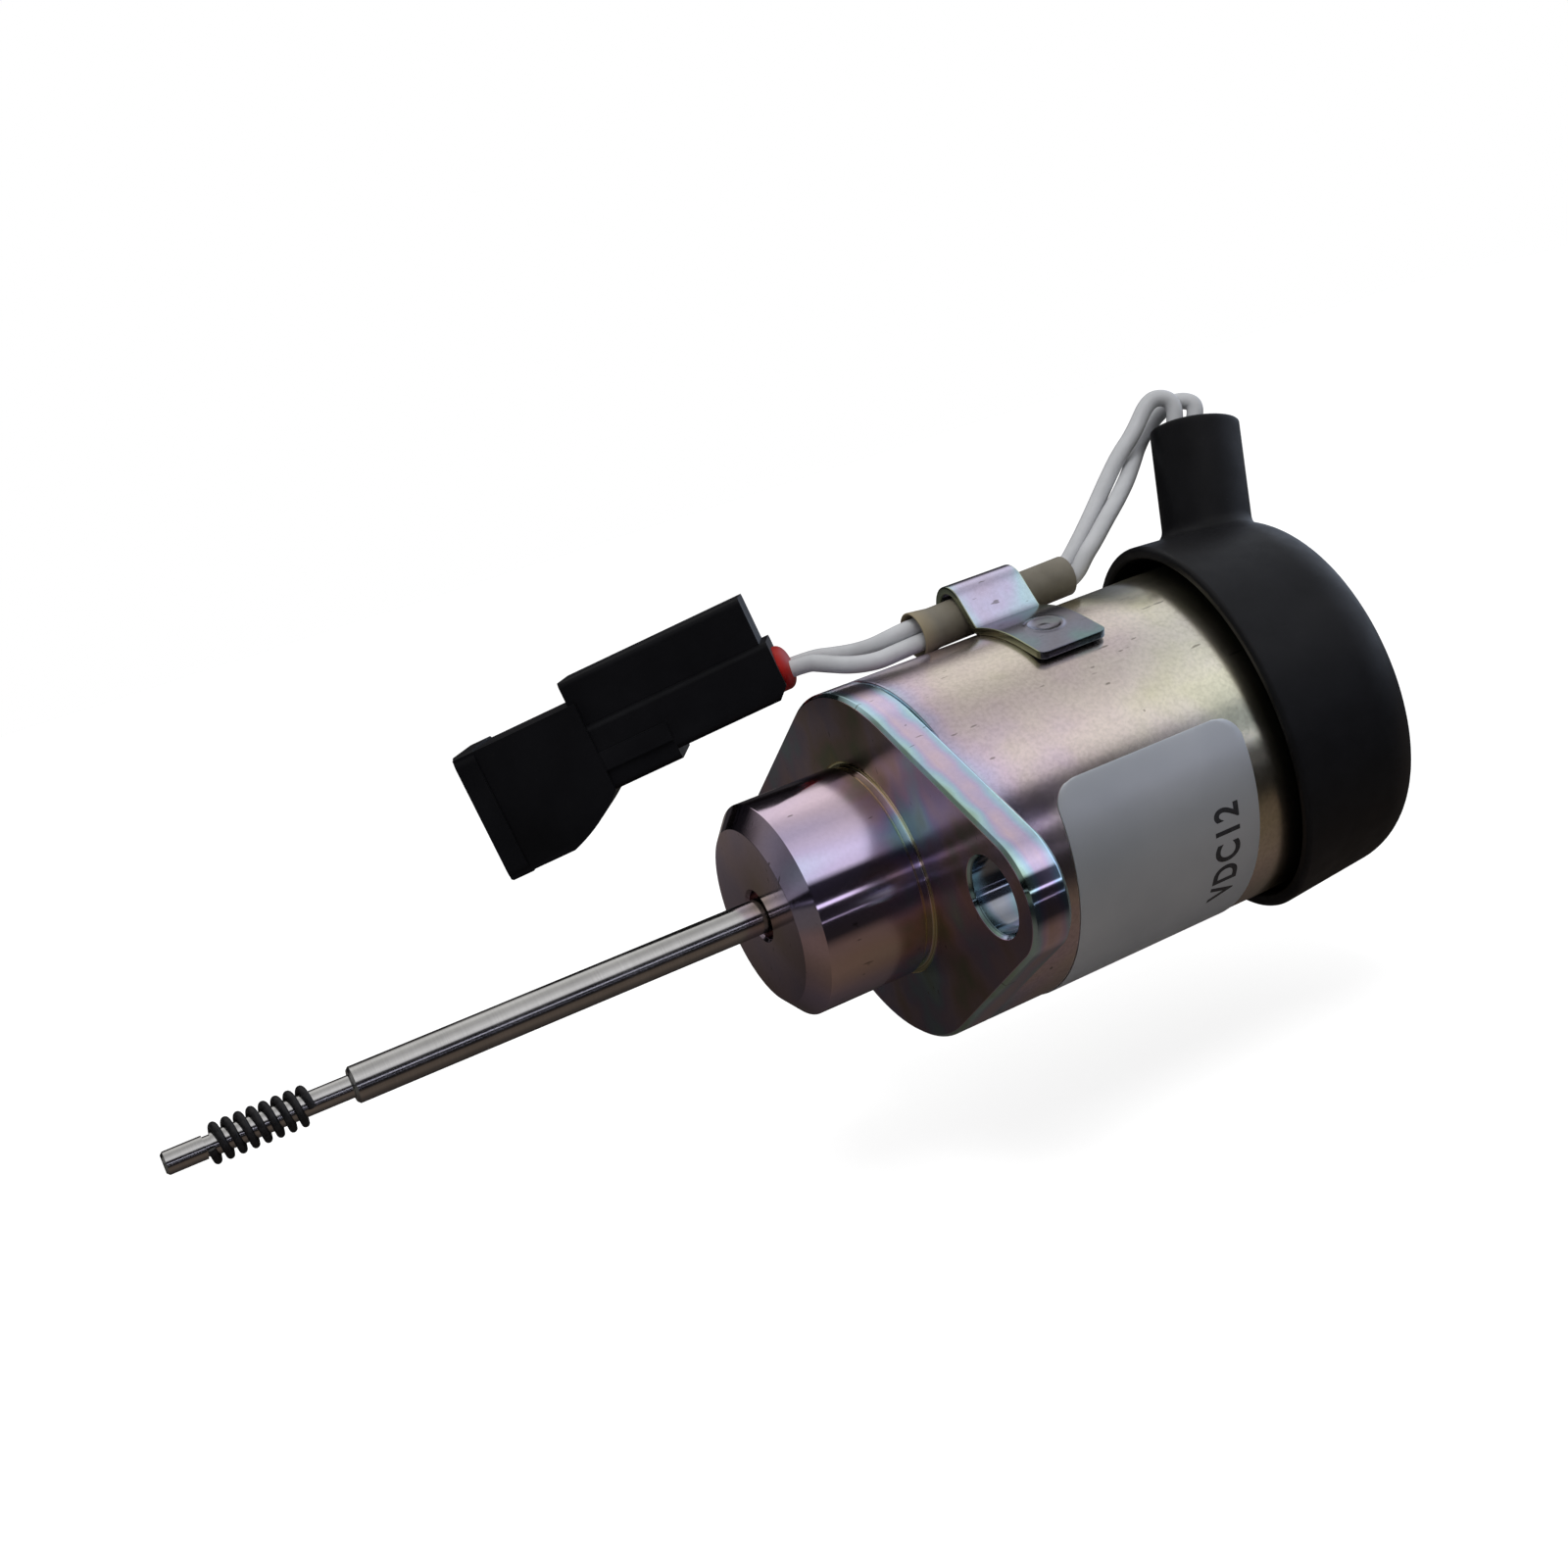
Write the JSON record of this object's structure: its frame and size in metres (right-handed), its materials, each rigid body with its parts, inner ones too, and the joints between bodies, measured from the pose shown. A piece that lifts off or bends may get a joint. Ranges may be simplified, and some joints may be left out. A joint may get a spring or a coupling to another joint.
{
  "type": "fuel shutoff solenoid",
  "caption": "Plated cylindrical push solenoid with an oval bolt flange, round nose, long stepped rod with a tip spring, rubber boot, clipped wires and a sealed plug.",
  "frame": {"origin": "centre of the flange's mounting face, on the rod's axis", "axes": "+X the way the rod pushes, +Y the side with the label, +Z the side with the clip and the snorkel"},
  "size_m": [0.1576, 0.0767, 0.0677],
  "materials": {
    "plated_steel": "satin yellow-iridescent zinc plating",
    "plated_strap": "satin pale blue-iridescent zinc plating",
    "rod_steel": "ground and polished",
    "black_steel": "black oxide",
    "boot_rubber": "matte",
    "sleeve_plastic": "matte brown-grey",
    "wire_insulation": "slightly glossy white",
    "plug_plastic": "fine matte",
    "seal_rubber": "matte red",
    "label_film": "silver-white film",
    "bronze": "sintered",
    "soft_iron": "turned",
    "brass_tube": "drawn",
    "bobbin_nylon": "natural nylon",
    "copper_wire": "enamelled copper",
    "coil_tape": "yellow film tape",
    "cap_moulding": "glass-filled nylon",
    "tinned_brass": "tinned",
    "spring_steel": "drawn wire",
    "lock_plastic": "matte"
  },
  "bodies": {
    "housing": {"case_can": "plated_steel", "coil_bobbin": "bobbin_nylon", "coil_winding": "copper_wire", "coil_wrap": "coil_tape", "end_flange": "plated_steel", "front_bush": "bronze", "guide_tube": "brass_tube", "lead_lower": "wire_insulation", "lead_upper": "wire_insulation", "pin_far": "tinned_brass", "pin_lock": "lock_plastic", "pin_near": "tinned_brass", "plug_housing": "plug_plastic", "plug_seal": "seal_rubber", "pole_core": "soft_iron", "rating_label": "label_film", "rear_boot": "boot_rubber", "rear_plate": "plated_steel", "rear_stop": "boot_rubber", "return_spring": "spring_steel", "shim_washer": "brass_tube", "tab_lower": "tinned_brass", "tab_upper": "tinned_brass", "terminal_cap": "cap_moulding", "wire_clip": "plated_strap", "wire_sleeve": "sleeve_plastic"},
    "rod": {"push_rod": "rod_steel", "plunger": "soft_iron", "rod_clip": "black_steel", "tip_spring": "black_steel"}
  },
  "joints": [
    {"name": "rod_slide", "type": "slide", "parent": "housing", "child": "rod", "axis": [1, 0, 0], "range_m": [0, 0.0095], "stiffness_N_per_m": 1700, "springref_m": -0.003, "deforming": ["return_spring"]}
  ]
}
